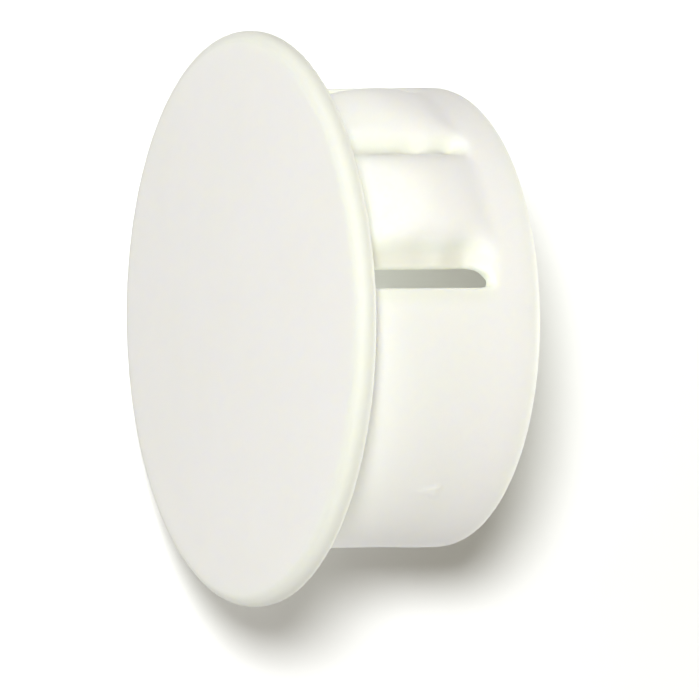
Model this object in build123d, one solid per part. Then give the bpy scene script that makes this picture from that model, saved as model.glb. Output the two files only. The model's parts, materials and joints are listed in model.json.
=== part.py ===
from build123d import *
import math
import os

# Snap-in hole plug for a round hole in a panel, moulded in one piece.
# The frame is +Z up with the thin head on top and the hollow barrel below it.
# The origin is the centre of the barrel's open end, on which the plug stands.
# A depth is measured down from the seat, the underside of the head, which
# lands on the panel. All sizes are in millimetres and degrees.

# Head
HEAD_DIAMETER = 31.4
HEAD_EDGE = 1.2          # thickness at the rim
HEAD_CROWN = 0.35        # rise of the face from its rim to its centre
HEAD_TOP_ROUND = 0.6     # rounding of the rim's upper edge
HEAD_SEAT_ROUND = 0.25   # rounding of the rim's lower edge

# Barrel
BARREL_DIAMETER = 25.2
BARREL_DEPTH = 11.3
BARREL_WALL = 1.15
WALL_RELIEF = 0.05       # the wall under the head is set in this much from the band
RELIEF_DEPTH = 7.3       # depth at which it starts to widen towards the band
MOUTH_ROUND = 0.2        # rounding of the open end's inner edge
END_LAND = 0.15          # flat ring left on the open end, on which the plug stands
CORNER_ROUND = 0.3       # fillet inside, between the barrel and the head
RING_HEIGHT = 0.3        # of the wall left under the head, above the tongues

# Snap tongues. Each is rooted in the closed band round the open end, runs up
# between two slots, and ends free below the ring under the head.
TONGUE_COUNT = 2
TONGUE_ANGLE = 76.3      # from the middle of one slot to the middle of the other
TONGUE_WALL = 0.5        # beside the lobes, which are solid
BAND_HEIGHT = 2.4        # of the closed band below the tongues
FREE_GAP = 0.8           # between the seat and the tongue's free end
ROOT_STEP = 0.03         # the tongue's root is set in this much from the band
SLOT_WIDTH = 1.1
SLOT_SETBACK = 0.55      # of the slots' far ends from the band
SLOT_LAND = 0.05         # square part of a slot's far end, beside its rounded corner

# Lobes: the ridges on a tongue that snap past the edge of the hole. A height is
# taken over the barrel, before the lobe's edges are rounded off.
LOBE_COUNT = 2
LOBE_MARGIN = 6.8        # from the middle of a slot to the foot of the nearest lobe
LOBE_LEAD = -0.5         # height of the crest at the free end
LOBE_PEAK = 0.8          # height of the crest at its highest
PEAK_DEPTH = 5.5
PEAK_ROUND = 0.4         # share of the climb and of the fall that the peak's rounding takes
FOOT_SETBACK = 0.3       # of the foot of the fall from the band
FOOT_ROUND = 0.15        # share of the fall that the rounding of its foot takes
SLOT_FLANK = 1.1         # rise of the flank next to a slot, one millimetre from its foot
CREASE_FLANK = 0.92      # rise of the flank next to another lobe, one millimetre from its foot
FLANK_FLARE = 1.2        # the more over 1, the gentler a flank starts at its foot
FLOOR_RECESS = 0.7       # of the tongue's floor, beside the lobes, below the barrel
FLOOR_RAMP = 1.0         # length of the floor's climb to the band
RIDGE_SOFTNESS = 2.5     # a higher number makes the lobes' edges sharper

# Nib: the small barb on the plain wall
NIB_ANGLE = -96.4
NIB_DEPTH = 6.7
NIB_LENGTH = 1.7
NIB_WIDTH = 0.9
NIB_RISE = 0.12

# Sizes that follow from the ones above
HEAD_RADIUS = HEAD_DIAMETER / 2
BARREL_RADIUS = BARREL_DIAMETER / 2
INNER_RADIUS = BARREL_RADIUS - BARREL_WALL
WALL_RADIUS = BARREL_RADIUS - WALL_RELIEF
END_ROUND = BARREL_WALL - MOUTH_ROUND - END_LAND
ROOT_DEPTH = BARREL_DEPTH - BAND_HEIGHT
WINDOW_TOP = BARREL_DEPTH - RING_HEIGHT
SLOT_CORNER = SLOT_WIDTH - SLOT_LAND
FOOT_DEPTH = ROOT_DEPTH - FOOT_SETBACK
HALF_ANGLE = TONGUE_ANGLE / 2
LOBE_PITCH = (TONGUE_ANGLE - 2 * LOBE_MARGIN) / LOBE_COUNT
TONGUE_INNER = BARREL_RADIUS - FLOOR_RECESS - TONGUE_WALL
OUTER_REACH = BARREL_RADIUS + LOBE_PEAK + BARREL_WALL

# How finely the tongue's wavy wall is described
SECTION_COUNT = 11       # cross-sections from the free end to the root
POINT_COUNT = 9          # points across one lobe


def crowded(count):
    """Shares from 0 to 1 that lie closer together at both ends, where a curve would overshoot."""
    return [(1 - math.cos(math.pi * i / (count - 1))) / 2 for i in range(count)]


def ramp(share, start_round, end_round):
    """Go from 0 to 1 in a straight line that bends into level over the two rounds."""
    share = min(max(share, 0), 1)
    slope = 1 / (1 - start_round / 2 - end_round / 2)
    if share < start_round:
        return slope * share ** 2 / (2 * start_round)
    if share > 1 - end_round:
        return 1 - slope * (1 - share) ** 2 / (2 * end_round)
    return slope * (share - start_round / 2)


def polar(radius, angle, height):
    turn = math.radians(angle)
    return Vector(radius * math.cos(turn), radius * math.sin(turn), height)


def crest_height(depth):
    """Height of a lobe's middle line over the barrel, which falls both ways from its peak."""
    if depth < PEAK_DEPTH:
        climb = ramp((depth - FREE_GAP) / (PEAK_DEPTH - FREE_GAP), 0, PEAK_ROUND)
        return LOBE_LEAD + (LOBE_PEAK - LOBE_LEAD) * climb
    fall = ramp((depth - PEAK_DEPTH) / (FOOT_DEPTH - PEAK_DEPTH), PEAK_ROUND, FOOT_ROUND)
    return LOBE_PEAK - (LOBE_PEAK + ROOT_STEP) * fall


def floor_height(depth, angle):
    """Height of the tongue beside its lobes, which climbs to the band, sooner near a slot."""
    end = ROOT_DEPTH - SLOT_SETBACK * (angle / HALF_ANGLE) ** 2
    climb = ramp((depth - end + FLOOR_RAMP) / FLOOR_RAMP, 0.5, 0.5)
    return -FLOOR_RECESS + (FLOOR_RECESS - ROOT_STEP) * climb


def soft_least(heights):
    """The least of some heights, with the corners where they cross rounded off."""
    if min(heights) <= 0:
        return 0
    return sum(height ** -RIDGE_SOFTNESS for height in heights) ** (-1 / RIDGE_SOFTNESS)


def lobe_outline(depth, index):
    """Points across one lobe at a depth, as angle and radius."""
    before = SLOT_FLANK if index == 0 else CREASE_FLANK
    after = SLOT_FLANK if index == LOBE_COUNT - 1 else CREASE_FLANK
    start = LOBE_MARGIN - HALF_ANGLE + index * LOBE_PITCH
    across = math.radians(LOBE_PITCH) * BARREL_RADIUS
    points = []
    for share in crowded(POINT_COUNT):
        angle = start + share * LOBE_PITCH
        floor = floor_height(depth, angle)
        ridge = crest_height(depth) - floor
        flank_before = before * (share * across) ** FLANK_FLARE
        flank_after = after * ((1 - share) * across) ** FLANK_FLARE
        lobe = soft_least([ridge, flank_before, flank_after])
        points.append((angle, BARREL_RADIUS + floor + lobe))
    return points


def strip_outline(depth, start, end):
    """Points across the plain strip between a slot and the nearest lobe."""
    angles = [start, (start + end) / 2, end]
    return [(a, BARREL_RADIUS + floor_height(depth, a)) for a in angles]


def tongue_section(depth):
    """Cross-section of a tongue at a depth: its wavy outer line and its plain inner one."""
    height = BARREL_DEPTH - depth
    foot = HALF_ANGLE - LOBE_MARGIN
    runs = [strip_outline(depth, -HALF_ANGLE, -foot)]
    runs += [lobe_outline(depth, index) for index in range(LOBE_COUNT)]
    runs += [strip_outline(depth, foot, HALF_ANGLE)]
    outer = [Spline([polar(r, a, height) for a, r in run]) for run in runs]
    inner = ThreePointArc(*[polar(TONGUE_INNER, a, height) for a in (HALF_ANGLE, 0, -HALF_ANGLE)])
    ends = [Line(outer[-1] @ 1, inner @ 0), Line(inner @ 1, outer[0] @ 0)]
    return Face(Wire([line.edge() for line in outer + [ends[0], inner, ends[1]]]))


def make_tongue():
    """One tongue along +X, lofted from its free end to its root."""
    length = ROOT_DEPTH - FREE_GAP
    return loft([tongue_section(FREE_GAP + length * share) for share in crowded(SECTION_COUNT)])


def make_window():
    """The sector of the barrel's wall that one tongue and its slots take up."""
    near = polar(OUTER_REACH, -HALF_ANGLE, WINDOW_TOP)
    far = polar(OUTER_REACH, HALF_ANGLE, WINDOW_TOP)
    centre = Vector(0, 0, WINDOW_TOP)
    rim = ThreePointArc(near, polar(OUTER_REACH, 0, WINDOW_TOP), far)
    sector = make_face([Line(centre, near), rim, Line(far, centre)])
    return extrude(sector, amount=BAND_HEIGHT - WINDOW_TOP, dir=(0, 0, 1))


def make_slot(side):
    """Cutter for the slot on one side of the tongue, with its far corner round on that side."""
    half = SLOT_WIDTH / 2
    length = WINDOW_TOP - BAND_HEIGHT - SLOT_SETBACK
    outline = Pos(0, -length / 2) * Rectangle(SLOT_WIDTH, length)
    corner = outline.vertices().sort_by_distance(Vector(-side * half, -length))[0]
    outline = fillet(corner, radius=SLOT_CORNER)
    wall = Plane(origin=(0, 0, WINDOW_TOP), x_dir=(0, 1, 0), z_dir=(1, 0, 0))
    cutter = extrude(wall * outline, amount=OUTER_REACH)
    return Rot(0, 0, side * HALF_ANGLE) * cutter


def make_turned_form():
    """Head, barrel and hollow, turned about the axis."""
    top = BARREL_DEPTH + HEAD_EDGE
    sphere = (HEAD_RADIUS ** 2 + HEAD_CROWN ** 2) / (2 * HEAD_CROWN)
    face_middle = (0, top + HEAD_CROWN)
    face = RadiusArc(face_middle, (HEAD_RADIUS, top), sphere)
    rest = Polyline(
        (HEAD_RADIUS, top), (HEAD_RADIUS, BARREL_DEPTH),
        (WALL_RADIUS, BARREL_DEPTH), (WALL_RADIUS, BARREL_DEPTH - RELIEF_DEPTH),
        (BARREL_RADIUS, BAND_HEIGHT), (BARREL_RADIUS, 0),
        (INNER_RADIUS, 0), (INNER_RADIUS, BARREL_DEPTH),
        (0, BARREL_DEPTH), face_middle,
    )
    profile = make_face(face + rest)
    rounds = [
        ((HEAD_RADIUS, top), HEAD_TOP_ROUND),
        ((HEAD_RADIUS, BARREL_DEPTH), HEAD_SEAT_ROUND),
        ((BARREL_RADIUS, 0), END_ROUND),
        ((INNER_RADIUS, 0), MOUTH_ROUND),
        ((INNER_RADIUS, BARREL_DEPTH), CORNER_ROUND),
    ]
    for place, size in rounds:
        corner = profile.vertices().sort_by_distance(Vector(*place))[0]
        profile = fillet(corner, radius=size)
    return revolve(Plane.XZ * profile, axis=Axis.Z)


def make_nib():
    """Low barb on the plain wall: it widens and rises towards the open end."""
    outline = Polyline((0, 0), (NIB_WIDTH / 2, -NIB_LENGTH), (-NIB_WIDTH / 2, -NIB_LENGTH), close=True)
    tip = polar(WALL_RADIUS, NIB_ANGLE, BARREL_DEPTH - NIB_DEPTH + NIB_LENGTH)
    outward = polar(1, NIB_ANGLE, 0)
    across = polar(1, NIB_ANGLE + 90, 0)
    wall = Plane(origin=tip, x_dir=across, z_dir=outward)
    tilt = math.degrees(math.asin(NIB_RISE / NIB_LENGTH))
    return extrude(wall * Rot(tilt, 0, 0) * make_face(outline), amount=-BARREL_WALL / 2)


def make_plug():
    turns = [Rot(0, 0, 360 * i / TONGUE_COUNT) for i in range(TONGUE_COUNT)]
    window = make_window()
    tongue = make_tongue()
    slots = make_slot(1) + make_slot(-1)
    plug = make_turned_form()
    for turn in turns:
        plug = plug - turn * window + turn * tongue
    for turn in turns:
        plug = plug - turn * slots
    return plug + make_nib()


plug = make_plug()
print("solids", len(plug.solids()), "volume", round(plug.volume, 2), "valid", plug.is_valid)
os.makedirs("parts", exist_ok=True)
export_step(plug, "parts/hole_plug.step")
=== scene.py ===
# %% [markdown]
# # A snap-in hole plug, moulded in natural nylon
#
# The plug closes a round hole in a panel. A thin crowned head covers the hole, and a short
# hollow barrel with two springy tongues snaps in behind the panel. All of it is one moulding,
# so this scene dresses a single piece: it softens the moulding's edges, gives it the milky
# matt look of nylon, and sets it against a white table in soft light.
#
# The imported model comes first. It is the fixed frame, in metres, with +Z up, and every place
# below is worked out from it.

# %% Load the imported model
import json
import math

import bpy
from mathutils import Matrix, Vector


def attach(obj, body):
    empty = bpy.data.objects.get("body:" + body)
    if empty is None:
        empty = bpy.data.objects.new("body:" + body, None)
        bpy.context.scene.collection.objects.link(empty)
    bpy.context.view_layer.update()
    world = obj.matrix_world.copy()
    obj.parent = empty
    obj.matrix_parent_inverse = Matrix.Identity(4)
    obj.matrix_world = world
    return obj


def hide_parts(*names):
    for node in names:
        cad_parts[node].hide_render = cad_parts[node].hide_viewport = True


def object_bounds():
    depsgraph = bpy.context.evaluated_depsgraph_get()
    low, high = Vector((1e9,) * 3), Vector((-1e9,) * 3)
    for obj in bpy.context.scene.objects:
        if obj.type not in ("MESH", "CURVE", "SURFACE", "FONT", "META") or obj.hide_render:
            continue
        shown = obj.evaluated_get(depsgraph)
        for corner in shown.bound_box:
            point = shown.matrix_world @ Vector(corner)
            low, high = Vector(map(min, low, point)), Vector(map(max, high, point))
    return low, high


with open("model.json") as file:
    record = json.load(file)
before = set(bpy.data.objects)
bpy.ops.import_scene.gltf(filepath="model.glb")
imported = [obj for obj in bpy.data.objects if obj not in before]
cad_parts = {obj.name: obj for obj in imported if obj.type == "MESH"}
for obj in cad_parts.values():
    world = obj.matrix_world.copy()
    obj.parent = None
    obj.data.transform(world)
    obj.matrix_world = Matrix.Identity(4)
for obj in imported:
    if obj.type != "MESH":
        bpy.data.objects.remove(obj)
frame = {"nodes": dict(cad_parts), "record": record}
cad_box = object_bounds()
MM = 0.001
print("the model is", [round(side / MM, 2) for side in cad_box[1] - cad_box[0]], "mm")

# %% [markdown]
# The plug's own sizes are read from its model, not typed in again. The seat is the underside
# of the head, which lands on the panel. The record gives it as a mount, and the barrel's
# radius comes from the mount that the panel's hole slides over.

# %% Read the sizes that the scene needs
plug_node = frame["nodes"]["hole_plug"]
mounts = {mount["name"]: mount for mount in frame["record"]["mounts"]}
seat_height = mounts["head_seat"]["pos_m"][2]
barrel_radius = mounts["barrel_band"]["dims"]["r_mm"] * MM
head_radius = (cad_box[1].x - cad_box[0].x) / 2
print("seat", seat_height / MM, "head", head_radius / MM, "barrel", barrel_radius / MM)

# %% [markdown]
# Two helpers serve every tree of nodes below. Colours are written as the hex values that a
# paint chart or a colour picker gives, which are sRGB, and Blender's sockets want linear
# light, so one function turns the one into the other. The second adds a node: it fills in its
# settings, then ties its inputs to the outputs that feed them. An input goes by its name, or
# by its number where several share a name, as on the nodes that mix two colours.

# %% Colour and node helpers
COLOUR_A, COLOUR_B, MIXED = 6, 7, 2      # a Mix node's two colour inputs and its colour output


def linear(hex_colour):
    """An sRGB hex colour as the linear values that a socket takes."""
    shares = [int(hex_colour[i:i + 2], 16) / 255 for i in (0, 2, 4)]
    return [s / 12.92 if s <= 0.04045 else ((s + 0.055) / 1.055) ** 2.4 for s in shares] + [1.0]


def add_node(tree, kind, settings=None, links=None):
    """Add a node, set its properties and inputs, and link the inputs that others feed."""
    node = tree.nodes.new(kind)
    for key, value in (settings or {}).items():
        if isinstance(key, str) and hasattr(node, key):
            setattr(node, key, value)
        else:
            node.inputs[key].default_value = value
    for key, output in (links or {}).items():
        tree.links.new(output, node.inputs[key])
    return node


WHITE = linear("FFFFFF")
print("pure white is", WHITE)

# %% [markdown]
# ## The skin
#
# No edge of a moulding is truly sharp. The steel of the mould is rounded by polishing, and
# nylon shrinks away from corners as it cools, so the slots, the tongues and the lobes all have
# an edge of a tenth or two of a millimetre that catches a soft line of light.
#
# Bevelling each edge by name would work on a box, but here the edges run over curved lobes and
# meet at odd angles. So the skin is made the way wax is smoothed: the model is copied, its
# surface is laid out again as small even squares, and then every point is drawn a little way
# towards its neighbours. Flat and gently curved parts stay where they are, and only the edges
# give way. The first step is a Remesh modifier.

# %% Copy the model and lay its surface out evenly
SQUARE = 0.205 * MM      # side of the small squares, of which the barrel's wall takes five
WELD = 0.001 * MM        # points closer than this are one point

skin = bpy.data.objects.new("plug_skin", plug_node.data.copy())
bpy.context.scene.collection.objects.link(skin)
skin.data.materials.clear()

weld = skin.modifiers.new("weld", "WELD")
weld.merge_threshold = WELD
evenly = skin.modifiers.new("evenly", "REMESH")
evenly.mode = "VOXEL"
evenly.voxel_size = SQUARE
evenly.use_smooth_shade = True


def keep_shape(piece):
    """Turn what the modifiers make of a piece into its own plain mesh."""
    shaped = piece.evaluated_get(bpy.context.evaluated_depsgraph_get())
    mesh = bpy.data.meshes.new_from_object(shaped)
    piece.modifiers.clear()
    piece.data = mesh
    return mesh


skin_mesh = keep_shape(skin)
print("the skin has", len(skin_mesh.polygons), "squares")

# %% [markdown]
# The second step is a small Geometry Nodes tree. Blur Attribute moves each point's position
# towards the average of its neighbours, as many times as the input Passes says. More passes
# reach further, so this one number sets how round the edges become. The tree ends by giving
# the skin its material.

# %% Build the tree that rounds the edges
SOFT_PASSES = 3          # rounds an edge by about a fifth of a millimetre

soften = bpy.data.node_groups.new("soften_edges", "GeometryNodeTree")
soften.interface.new_socket("Geometry", in_out="INPUT", socket_type="NodeSocketGeometry")
passes_socket = soften.interface.new_socket("Passes", in_out="INPUT", socket_type="NodeSocketInt")
finish_socket = soften.interface.new_socket("Finish", in_out="INPUT", socket_type="NodeSocketMaterial")
soften.interface.new_socket("Geometry", in_out="OUTPUT", socket_type="NodeSocketGeometry")

given = add_node(soften, "NodeGroupInput")
where = add_node(soften, "GeometryNodeInputPosition")
blurred = add_node(soften, "GeometryNodeBlurAttribute", {"data_type": "FLOAT_VECTOR"}, {
    "Value": where.outputs["Position"],
    "Iterations": given.outputs["Passes"],
})
moved = add_node(soften, "GeometryNodeSetPosition", None, {
    "Geometry": given.outputs["Geometry"],
    "Position": blurred.outputs["Value"],
})
real = add_node(soften, "GeometryNodeRealizeInstances", None, {"Geometry": moved.outputs["Geometry"]})
dressed = add_node(soften, "GeometryNodeSetMaterial", None, {
    "Geometry": real.outputs["Geometry"],
    "Material": given.outputs["Finish"],
})
add_node(soften, "NodeGroupOutput", None, {"Geometry": dressed.outputs["Geometry"]})
print("the tree has", len(soften.nodes), "nodes")

# %% [markdown]
# ## The finish: natural nylon, injection moulded
#
# Undyed nylon 66 is a milky ivory. Light goes a few tenths of a millimetre into it before it
# comes out again, which softens every shade, so subsurface scattering carries most of the
# look. As the melt flows and cools it leaves very faint clouds, a touch lighter and darker.
# A Noise texture on Object coordinates makes them, so they stay with the plug when it turns.

# %% Start the nylon with its clouds
NYLON_LIGHT = "F9FDF4"
NYLON_DEEP = "F4F9EE"
CLOUD_SIZE = 5.0 * MM
CLOUD_DETAIL = 3.0

nylon = bpy.data.materials.new("nylon_66_natural_moulded")
nylon.use_nodes = True
nylon.node_tree.nodes.clear()
tree = nylon.node_tree
place = add_node(tree, "ShaderNodeTexCoord")
clouds = add_node(tree, "ShaderNodeTexNoise", {
    "Scale": 1 / CLOUD_SIZE, "Detail": CLOUD_DETAIL,
}, {"Vector": place.outputs["Object"]})
ivory = add_node(tree, "ShaderNodeMix", {
    "data_type": "RGBA", COLOUR_A: linear(NYLON_DEEP), COLOUR_B: linear(NYLON_LIGHT),
}, {"Factor": clouds.outputs["Fac"]})
print("the nylon goes from", NYLON_DEEP, "to", NYLON_LIGHT)

# %% [markdown]
# Where there is little nylon, part of the light leaves through the far side and is lost, so a thin
# tongue and a sharp edge look greyer than a thick wall. Here that loss is painted into the colour as a
# painted shade. An Ambient Occlusion node that looks inwards measures the thickness: it is 1 where the
# plug is thicker than its distance, and falls towards 0 as the wall thins. The head's rounded rim gets
# a painted shade of its own, a grey that tones down the light it catches. It lies further from the
# axis than anything else on the plug, so the distance from the axis finds it.

# %% Paint shade on the thin walls and the rim
THIN_WALL = 1.15 * MM    # a wall thinner than this lets light through its far side
# painted shade, mixed in where the wall is thin
THIN_PAINTED_SHADE = "E5E4DA"
THIN_SAMPLES = 6
RIM_WIDTH = 0.7 * MM     # of the head's rounded edge
# painted shade that greys the light the head's rim catches
RIM_PAINTED_SHADE = "E8EAE1"

thickness = add_node(tree, "ShaderNodeAmbientOcclusion", {
    "samples": THIN_SAMPLES, "inside": True, "only_local": True, "Distance": THIN_WALL,
})
# the thin walls' painted shade over the ivory
painted_thin_shade = add_node(tree, "ShaderNodeMix", {
    "data_type": "RGBA", COLOUR_A: linear(THIN_PAINTED_SHADE),
}, {"Factor": thickness.outputs["AO"], COLOUR_B: ivory.outputs[MIXED]})
level_place = add_node(tree, "ShaderNodeVectorMath", {
    "operation": "MULTIPLY", 1: (1, 1, 0),
}, {0: place.outputs["Object"]})
from_axis = add_node(tree, "ShaderNodeVectorMath", {"operation": "LENGTH"}, {
    0: level_place.outputs["Vector"],
})
# where the rim's painted shade goes, by distance from the axis
rim_shade_mask = add_node(tree, "ShaderNodeMapRange", {
    "From Min": head_radius - RIM_WIDTH, "From Max": head_radius - RIM_WIDTH / 2,
}, {"Value": from_axis.outputs["Value"]})
colour_with_painted_shade = add_node(tree, "ShaderNodeMix", {
    "data_type": "RGBA", COLOUR_B: linear(RIM_PAINTED_SHADE),
}, {"Factor": rim_shade_mask.outputs["Result"], COLOUR_A: painted_thin_shade.outputs[MIXED]})
print("the rim starts", round((head_radius - RIM_WIDTH) / MM, 2), "mm from the axis")

# %% [markdown]
# The surface copies the mould's fine spark-eroded texture, so reflections are wide and weak,
# and a little wider in the lighter clouds. Red light travels furthest in nylon and blue light
# least, which keeps the shades warm.

# %% Finish the surface
GRAIN_SIZE = 0.30 * MM   # the real texture is finer, and this is the finest that shows
GRAIN_DEPTH = 0.004 * MM
GRAIN_DETAIL = 2.0
SHEEN_LEAST = 0.58       # roughness, from the darker clouds
SHEEN_MOST = 0.68        # to the lighter ones
NYLON_IOR = 1.53
LIGHT_REACH = 0.35 * MM  # how far red light travels inside
REACH_SHARES = (1.0, 0.95, 0.75)     # of that reach, for red, green and blue

sheen = add_node(tree, "ShaderNodeMapRange", {"To Min": SHEEN_LEAST, "To Max": SHEEN_MOST}, {
    "Value": clouds.outputs["Fac"],
})
grain = add_node(tree, "ShaderNodeTexNoise", {
    "Scale": 1 / GRAIN_SIZE, "Detail": GRAIN_DETAIL,
}, {"Vector": place.outputs["Object"]})
texture = add_node(tree, "ShaderNodeBump", {"Distance": GRAIN_DEPTH, "Strength": 1.0}, {
    "Height": grain.outputs["Fac"],
})
shader = add_node(tree, "ShaderNodeBsdfPrincipled", {
    "IOR": NYLON_IOR,
    "Subsurface Weight": 1.0,
    "Subsurface Scale": LIGHT_REACH,
    "Subsurface Radius": REACH_SHARES,
    "Subsurface Anisotropy": 0.0,
}, {
    "Base Color": colour_with_painted_shade.outputs[MIXED],
    "Roughness": sheen.outputs["Result"],
    "Normal": texture.outputs["Normal"],
})
add_node(tree, "ShaderNodeOutputMaterial", None, {"Surface": shader.outputs["BSDF"]})
print("the nylon's tree has", len(tree.nodes), "nodes")

# %% [markdown]
# A modifier's inputs are set by each socket's identifier. Once the tree has done its work, its
# result becomes a plain mesh and the modifier goes, so that the piece that rides on the model
# is nothing but points and faces.

# %% Soften the skin
rounding = skin.modifiers.new("soften_edges", "NODES")
rounding.node_group = soften
rounding[passes_socket.identifier] = SOFT_PASSES
rounding[finish_socket.identifier] = nylon
skin_mesh = keep_shape(skin)
skin_mesh.shade_smooth()
print("the skin has", len(skin_mesh.polygons), "faces and", len(skin_mesh.materials), "finish")

# %% [markdown]
# The plain wall carries one small nib, a flat triangle that rises away from the head. It is
# only a few squares long, so the softening flattens it. Its points are found by their place
# and lifted again: not at all at its tip, and most at its wide end.

# %% Lift the nib
NIB_ANGLE = math.radians(-96.4)      # round the axis, from +X
NIB_DEPTH = 5.0 * MM                 # from the seat to the nib's tip
NIB_LENGTH = 1.7 * MM
NIB_WIDTH = 0.9 * MM
NIB_LIFT = 0.10 * MM
OUTER_PART = 0.425 * MM              # of the wall, which leaves the points of the bore out

outward = Vector((math.cos(NIB_ANGLE), math.sin(NIB_ANGLE), 0))
sideways = Vector((-outward.y, outward.x, 0))
lifted = 0
for point in skin_mesh.vertices:
    share = (seat_height - NIB_DEPTH - point.co.z) / NIB_LENGTH
    in_outline = 0 < share < 1 and abs(point.co.dot(sideways)) < share * NIB_WIDTH / 2
    if in_outline and point.co.dot(outward) > barrel_radius - OUTER_PART:
        point.co += outward * NIB_LIFT * share
        lifted += 1
print("the nib has", lifted, "points")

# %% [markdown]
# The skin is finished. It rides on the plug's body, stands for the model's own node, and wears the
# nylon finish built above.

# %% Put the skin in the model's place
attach(skin, "root")
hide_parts("hole_plug")
print("the skin stands for the hole plug")

# %% [markdown]
# ## The camera
#
# A small part is shown well from a little above and turned part way round, so that the head,
# a tongue, a slot and the plain wall can all be seen at once. Here the camera also lies on its
# side, which brings the head to the left of the picture. It stands about 0.6 m away with a
# long lens, so circles stay true ellipses with very little perspective.
#
# Its three directions are worked out first, because the table and the lamps use them too.

# %% Place the camera
VIEW_TURN = math.radians(-47.9)      # of the camera round the plug, from +X
VIEW_RISE = math.radians(24.7)       # of the camera above the seat's plane
VIEW_ROLL = math.radians(0.55)       # beyond the quarter turn that brings the head to the left
VIEW_DISTANCE = 610 * MM
PICTURE_WIDTH = 38.13 * MM           # what the picture takes in at the seat
AIM_RIGHT = 4.98 * MM                # of the picture's middle from the seat's middle
AIM_DOWN = 1.70 * MM
SENSOR_WIDTH = 36

level = Vector((math.cos(VIEW_TURN), math.sin(VIEW_TURN), 0))
towards = level * math.cos(VIEW_RISE) + Vector((0, 0, math.sin(VIEW_RISE)))
side = Vector((-level.y, level.x, 0))
barrel_way = side.cross(towards)
right = barrel_way * math.cos(VIEW_ROLL) - side * math.sin(VIEW_ROLL)
up = side * math.cos(VIEW_ROLL) + barrel_way * math.sin(VIEW_ROLL)

camera = bpy.data.objects.new("camera", bpy.data.cameras.new("camera"))
bpy.context.scene.collection.objects.link(camera)
bpy.context.scene.camera = camera
camera.data.sensor_width = SENSOR_WIDTH
camera.data.lens = SENSOR_WIDTH * VIEW_DISTANCE / PICTURE_WIDTH
aim = Vector((0, 0, seat_height)) + right * AIM_RIGHT - up * AIM_DOWN
turn = Matrix((right, up, towards)).transposed().to_4x4()
camera.matrix_world = Matrix.Translation(aim + towards * VIEW_DISTANCE) @ turn
print("the lens is", round(camera.data.lens), "mm")

# %% [markdown]
# ## The table
#
# The plug leans against a plain white table with its head's rim and the end of its barrel, on
# the side away from the camera. The table is one flat square laid against both, and it is
# there only to catch the plug's soft shadow. It throws no light back at the plug, because the
# world does that more evenly, and it casts no shadow of its own.

# %% Lay the table behind the plug
TABLE_HALF = 70 * MM                 # half the table's side
TABLE_GAP = 0.02 * MM                # keeps the two from sharing a point

head_touch = -level * head_radius + Vector((0, 0, seat_height))
barrel_touch = -level * barrel_radius
slope = (head_touch - barrel_touch).normalized()
facing = side.cross(slope).normalized()
if facing.dot(towards) < 0:
    facing = -facing
middle = (head_touch + barrel_touch) / 2 - facing * TABLE_GAP
across, along = slope * TABLE_HALF, facing.cross(slope) * TABLE_HALF
corners = [middle + across * i + along * j for i, j in ((-1, -1), (1, -1), (1, 1), (-1, 1))]

table_mesh = bpy.data.meshes.new("table")
table_mesh.from_pydata(corners, [], [(0, 1, 2, 3)])
table = bpy.data.objects.new("table", table_mesh)
bpy.context.scene.collection.objects.link(table)
table.visible_diffuse = False
table.visible_glossy = False
table.visible_transmission = False
table.visible_shadow = False
print("the table leans", round(math.degrees(slope.angle(Vector((0, 0, 1)))), 1), "degrees")

# %% [markdown]
# The table's paint is matt white. Away from the plug the lit table is about as white as the
# world behind it, so it can fade to nothing there and has no hard edge. Its back is clear too,
# so the plug can be looked at from behind.

# %% Paint the table
FADE_FROM = 40 * MM                  # from the table's middle to where it starts to fade
FADE_TO = 65 * MM                    # and to where it has gone

paint = bpy.data.materials.new("white_matt_paint")
paint.use_nodes = True
paint.node_tree.nodes.clear()
tree = paint.node_tree
matt = add_node(tree, "ShaderNodeBsdfDiffuse", {"Color": WHITE})
clear = add_node(tree, "ShaderNodeBsdfTransparent")
table_place = add_node(tree, "ShaderNodeTexCoord")
from_middle = add_node(tree, "ShaderNodeVectorMath", {"operation": "DISTANCE", 1: middle}, {
    0: table_place.outputs["Object"],
})
fading = add_node(tree, "ShaderNodeMapRange", {
    "interpolation_type": "SMOOTHSTEP", "From Min": FADE_FROM, "From Max": FADE_TO,
}, {"Value": from_middle.outputs["Value"]})
sides = add_node(tree, "ShaderNodeNewGeometry")
gone = add_node(tree, "ShaderNodeMath", {"operation": "MAXIMUM"}, {
    0: fading.outputs["Result"], 1: sides.outputs["Backfacing"],
})
shown = add_node(tree, "ShaderNodeMixShader", None, {
    "Fac": gone.outputs["Value"], 1: matt.outputs["BSDF"], 2: clear.outputs["BSDF"],
})
add_node(tree, "ShaderNodeOutputMaterial", None, {"Surface": shown.outputs["Shader"]})
table_mesh.materials.append(paint)
print("the table fades from", FADE_FROM / MM, "to", FADE_TO / MM, "mm")

# %% [markdown]
# ## The light
#
# Pale plastic is easily burnt out to white, and then its shape is lost, so every share of the
# light below is counted against full white. The world is pure white to the camera and in
# reflections, but it lights the plug unevenly. From the table's side comes the bright white
# light that white paint throws back. From the camera's side comes a weak and slightly warm
# light, which tints the shadow on the table.

# %% Set the world
WORLD_FRONT = 0.115      # light from the camera's side of the table, where 1 is full white
WORLD_BACK = 0.76        # light from the table's side
WARM_TONE = "FFDFCA"     # of the light from the camera's side
BACK_WHOLE = -0.15       # sine of the angle to the table's plane: below this, all back light
FRONT_WHOLE = 0.05       # and above this, all front light

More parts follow.
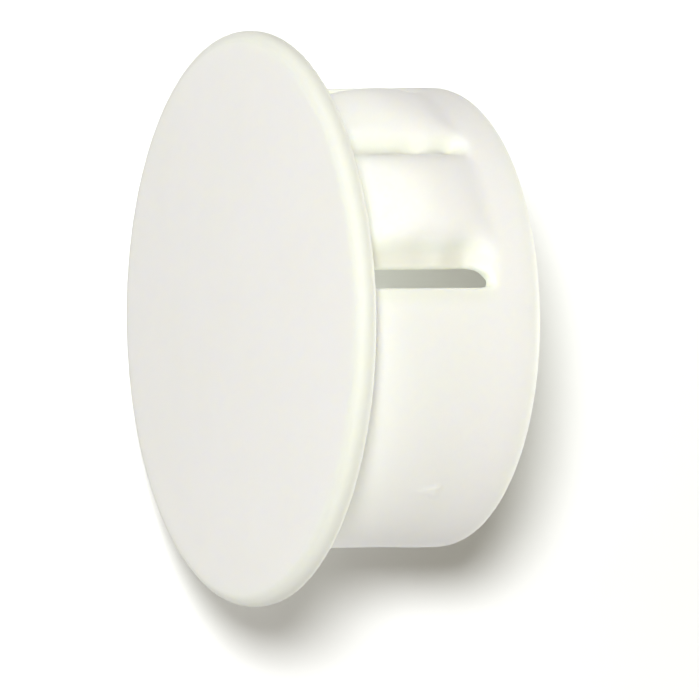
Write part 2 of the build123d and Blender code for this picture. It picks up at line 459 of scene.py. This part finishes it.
world = bpy.data.worlds.new("studio")
bpy.context.scene.world = world
world.use_nodes = True
world.node_tree.nodes.clear()
tree = world.node_tree
direction = add_node(tree, "ShaderNodeTexCoord")
ahead = add_node(tree, "ShaderNodeVectorMath", {"operation": "DOT_PRODUCT", 1: facing}, {
    0: direction.outputs["Generated"],
})
behind = add_node(tree, "ShaderNodeMapRange", {
    "From Min": BACK_WHOLE, "From Max": FRONT_WHOLE, "To Min": 1.0, "To Max": 0.0,
}, {"Value": ahead.outputs["Value"]})
around = add_node(tree, "ShaderNodeMapRange", {"To Min": WORLD_FRONT, "To Max": WORLD_BACK}, {
    "Value": behind.outputs["Result"],
})
print("the table faces", [round(share, 2) for share in facing])

# %% [markdown]
# Light Path tells what kind of ray asks. The camera's rays, glossy rays and transmitted rays
# get white at strength 1. Only the rays that gather light for a matt surface get the warm and
# the dimmer parts.

# %% Show the camera a white world
ray = add_node(tree, "ShaderNodeLightPath")
mirrored = add_node(tree, "ShaderNodeMath", {"operation": "MAXIMUM"}, {
    0: ray.outputs["Is Glossy Ray"], 1: ray.outputs["Is Transmission Ray"],
})
seen = add_node(tree, "ShaderNodeMath", {"operation": "MAXIMUM"}, {
    0: ray.outputs["Is Camera Ray"], 1: mirrored.outputs["Value"],
})
strength = add_node(tree, "ShaderNodeMapRange", {"To Max": 1.0}, {
    "Value": seen.outputs["Value"],
    "To Min": around.outputs["Result"],
})
neutral = add_node(tree, "ShaderNodeMath", {"operation": "MAXIMUM"}, {
    0: seen.outputs["Value"], 1: behind.outputs["Result"],
})
tone = add_node(tree, "ShaderNodeMix", {
    "data_type": "RGBA", COLOUR_A: linear(WARM_TONE), COLOUR_B: WHITE,
}, {"Factor": neutral.outputs["Value"]})
sky = add_node(tree, "ShaderNodeBackground", None, {
    "Color": tone.outputs[MIXED],
    "Strength": strength.outputs["Result"],
})
add_node(tree, "ShaderNodeOutputWorld", None, {"Surface": sky.outputs["Background"]})
print("the world's tree has", len(tree.nodes), "nodes")

# %% [markdown]
# Four soft lamps stand round the plug, each placed by how far it lies to the picture's right,
# up it, and towards the camera. The front lamp is the main one. It hangs just above the
# camera, gives the lobes and the barrel their form and throws the shadow down the picture. A
# wide weak lamp at the left lights the head, and another below lifts the barrel's dark side.
# The last stands behind the table's plane and shines into the open end of the barrel, as
# light from the surroundings would, so that the slot isn't black.

# %% Hang the lamps
LAMP_TONE = "FDFFFE"     # a neutral daylight white, against the warmer light in the shadow
LAMP_DISTANCE = 600 * MM
SMALL_LAMP = 130 * MM    # the lamps come in three widths
MIDDLE_LAMP = 200 * MM
WIDE_LAMP = 500 * MM


def hang_lamp(name, way, width, share):
    """A round lamp, aimed at the plug. It gives white paint that faces it its share of white."""
    lamp = bpy.data.objects.new(name, bpy.data.lights.new(name, "AREA"))
    bpy.context.scene.collection.objects.link(lamp)
    lamp.data.shape = "DISK"
    lamp.data.size = width
    lamp.data.color = linear(LAMP_TONE)[:3]
    lamp.data.energy = share * math.pi ** 2 * (LAMP_DISTANCE ** 2 + (width / 2) ** 2)
    lamp.visible_camera = False
    out = (right * way[0] + up * way[1] + towards * way[2]).normalized()
    aimed = out.to_track_quat("Z", "Y").to_matrix().to_4x4()
    lamp.matrix_world = Matrix.Translation(out * LAMP_DISTANCE) @ aimed


hang_lamp("front_lamp", (-0.03, 0.17, 1.0), SMALL_LAMP, 0.88)
hang_lamp("left_lamp", (-0.70, 0.30, 0.65), WIDE_LAMP, 0.22)
hang_lamp("low_lamp", (0.12, -0.95, 0.02), WIDE_LAMP, 0.24)
hang_lamp("hollow_lamp", (0.88, 0.00, -0.47), MIDDLE_LAMP, 0.62)
bpy.context.scene.view_settings.view_transform = "Standard"
print("lamps:", [round(lamp.energy, 2) for lamp in bpy.data.lights], "watts")
